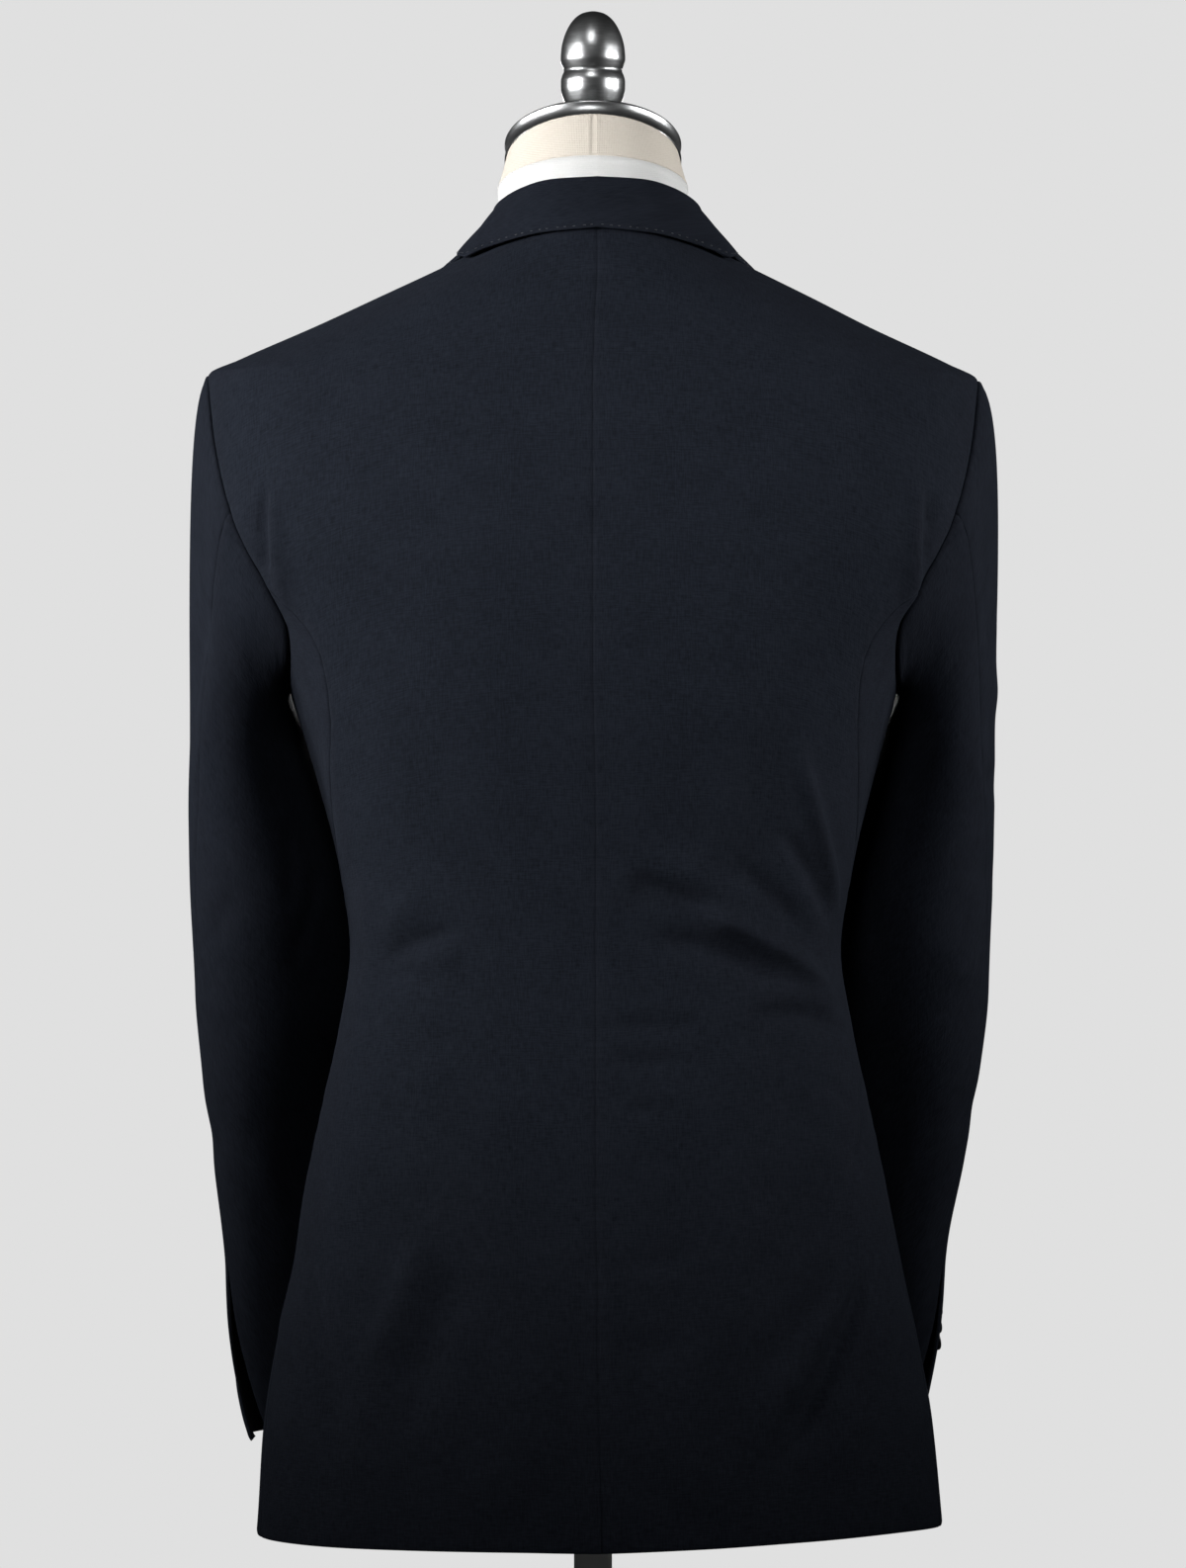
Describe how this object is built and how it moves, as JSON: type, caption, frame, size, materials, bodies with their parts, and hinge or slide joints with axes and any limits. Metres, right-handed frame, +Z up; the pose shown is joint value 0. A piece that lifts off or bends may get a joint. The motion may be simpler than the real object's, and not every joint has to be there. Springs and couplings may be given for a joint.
{
  "type": "blazer on a limbless dress form",
  "caption": "Fitted single-breasted blazer with long sleeves, notched lapels and flap pockets, worn hollow over a limbless dress form on a round base.",
  "frame": {"origin": "centre of the base's underside, on the floor", "axes": "+Z up, the garment's front faces -Y, the wearer's left is +X"},
  "size_m": [0.4705, 0.3312, 1.019],
  "materials": {
    "navy_wool": "fine plain-woven wool, matt, dark navy",
    "navy_wool_under": "the same wool on the under sleeves",
    "dark_horn": "dark horn-like, satin",
    "white_jersey": "smooth white jersey cover",
    "cream_linen": "cream linen",
    "brushed_metal": "brushed, satin",
    "white_enamel": "smooth white enamel"
  },
  "bodies": {
    "root": {"back_left": "navy_wool", "side_left": "navy_wool", "front_left": "navy_wool", "lapel_left": "navy_wool", "sleeve_top_left": "navy_wool", "sleeve_under_left": "navy_wool_under", "back_right": "navy_wool", "side_right": "navy_wool", "front_right": "navy_wool", "lapel_right": "navy_wool", "sleeve_top_right": "navy_wool", "sleeve_under_right": "navy_wool_under", "collar": "navy_wool", "pocket_flap_left": "navy_wool", "pocket_flap_right": "navy_wool", "breast_welt": "navy_wool", "front_button_1": "dark_horn", "front_button_2": "dark_horn", "cuff_button_left_1": "dark_horn", "cuff_button_left_2": "dark_horn", "cuff_button_left_3": "dark_horn", "cuff_button_left_4": "dark_horn", "cuff_button_right_1": "dark_horn", "cuff_button_right_2": "dark_horn", "cuff_button_right_3": "dark_horn", "cuff_button_right_4": "dark_horn", "form_torso": "white_jersey", "form_neck": "cream_linen", "form_cap_and_finial": "brushed_metal", "form_stand": "white_enamel"}
  },
  "joints": []
}
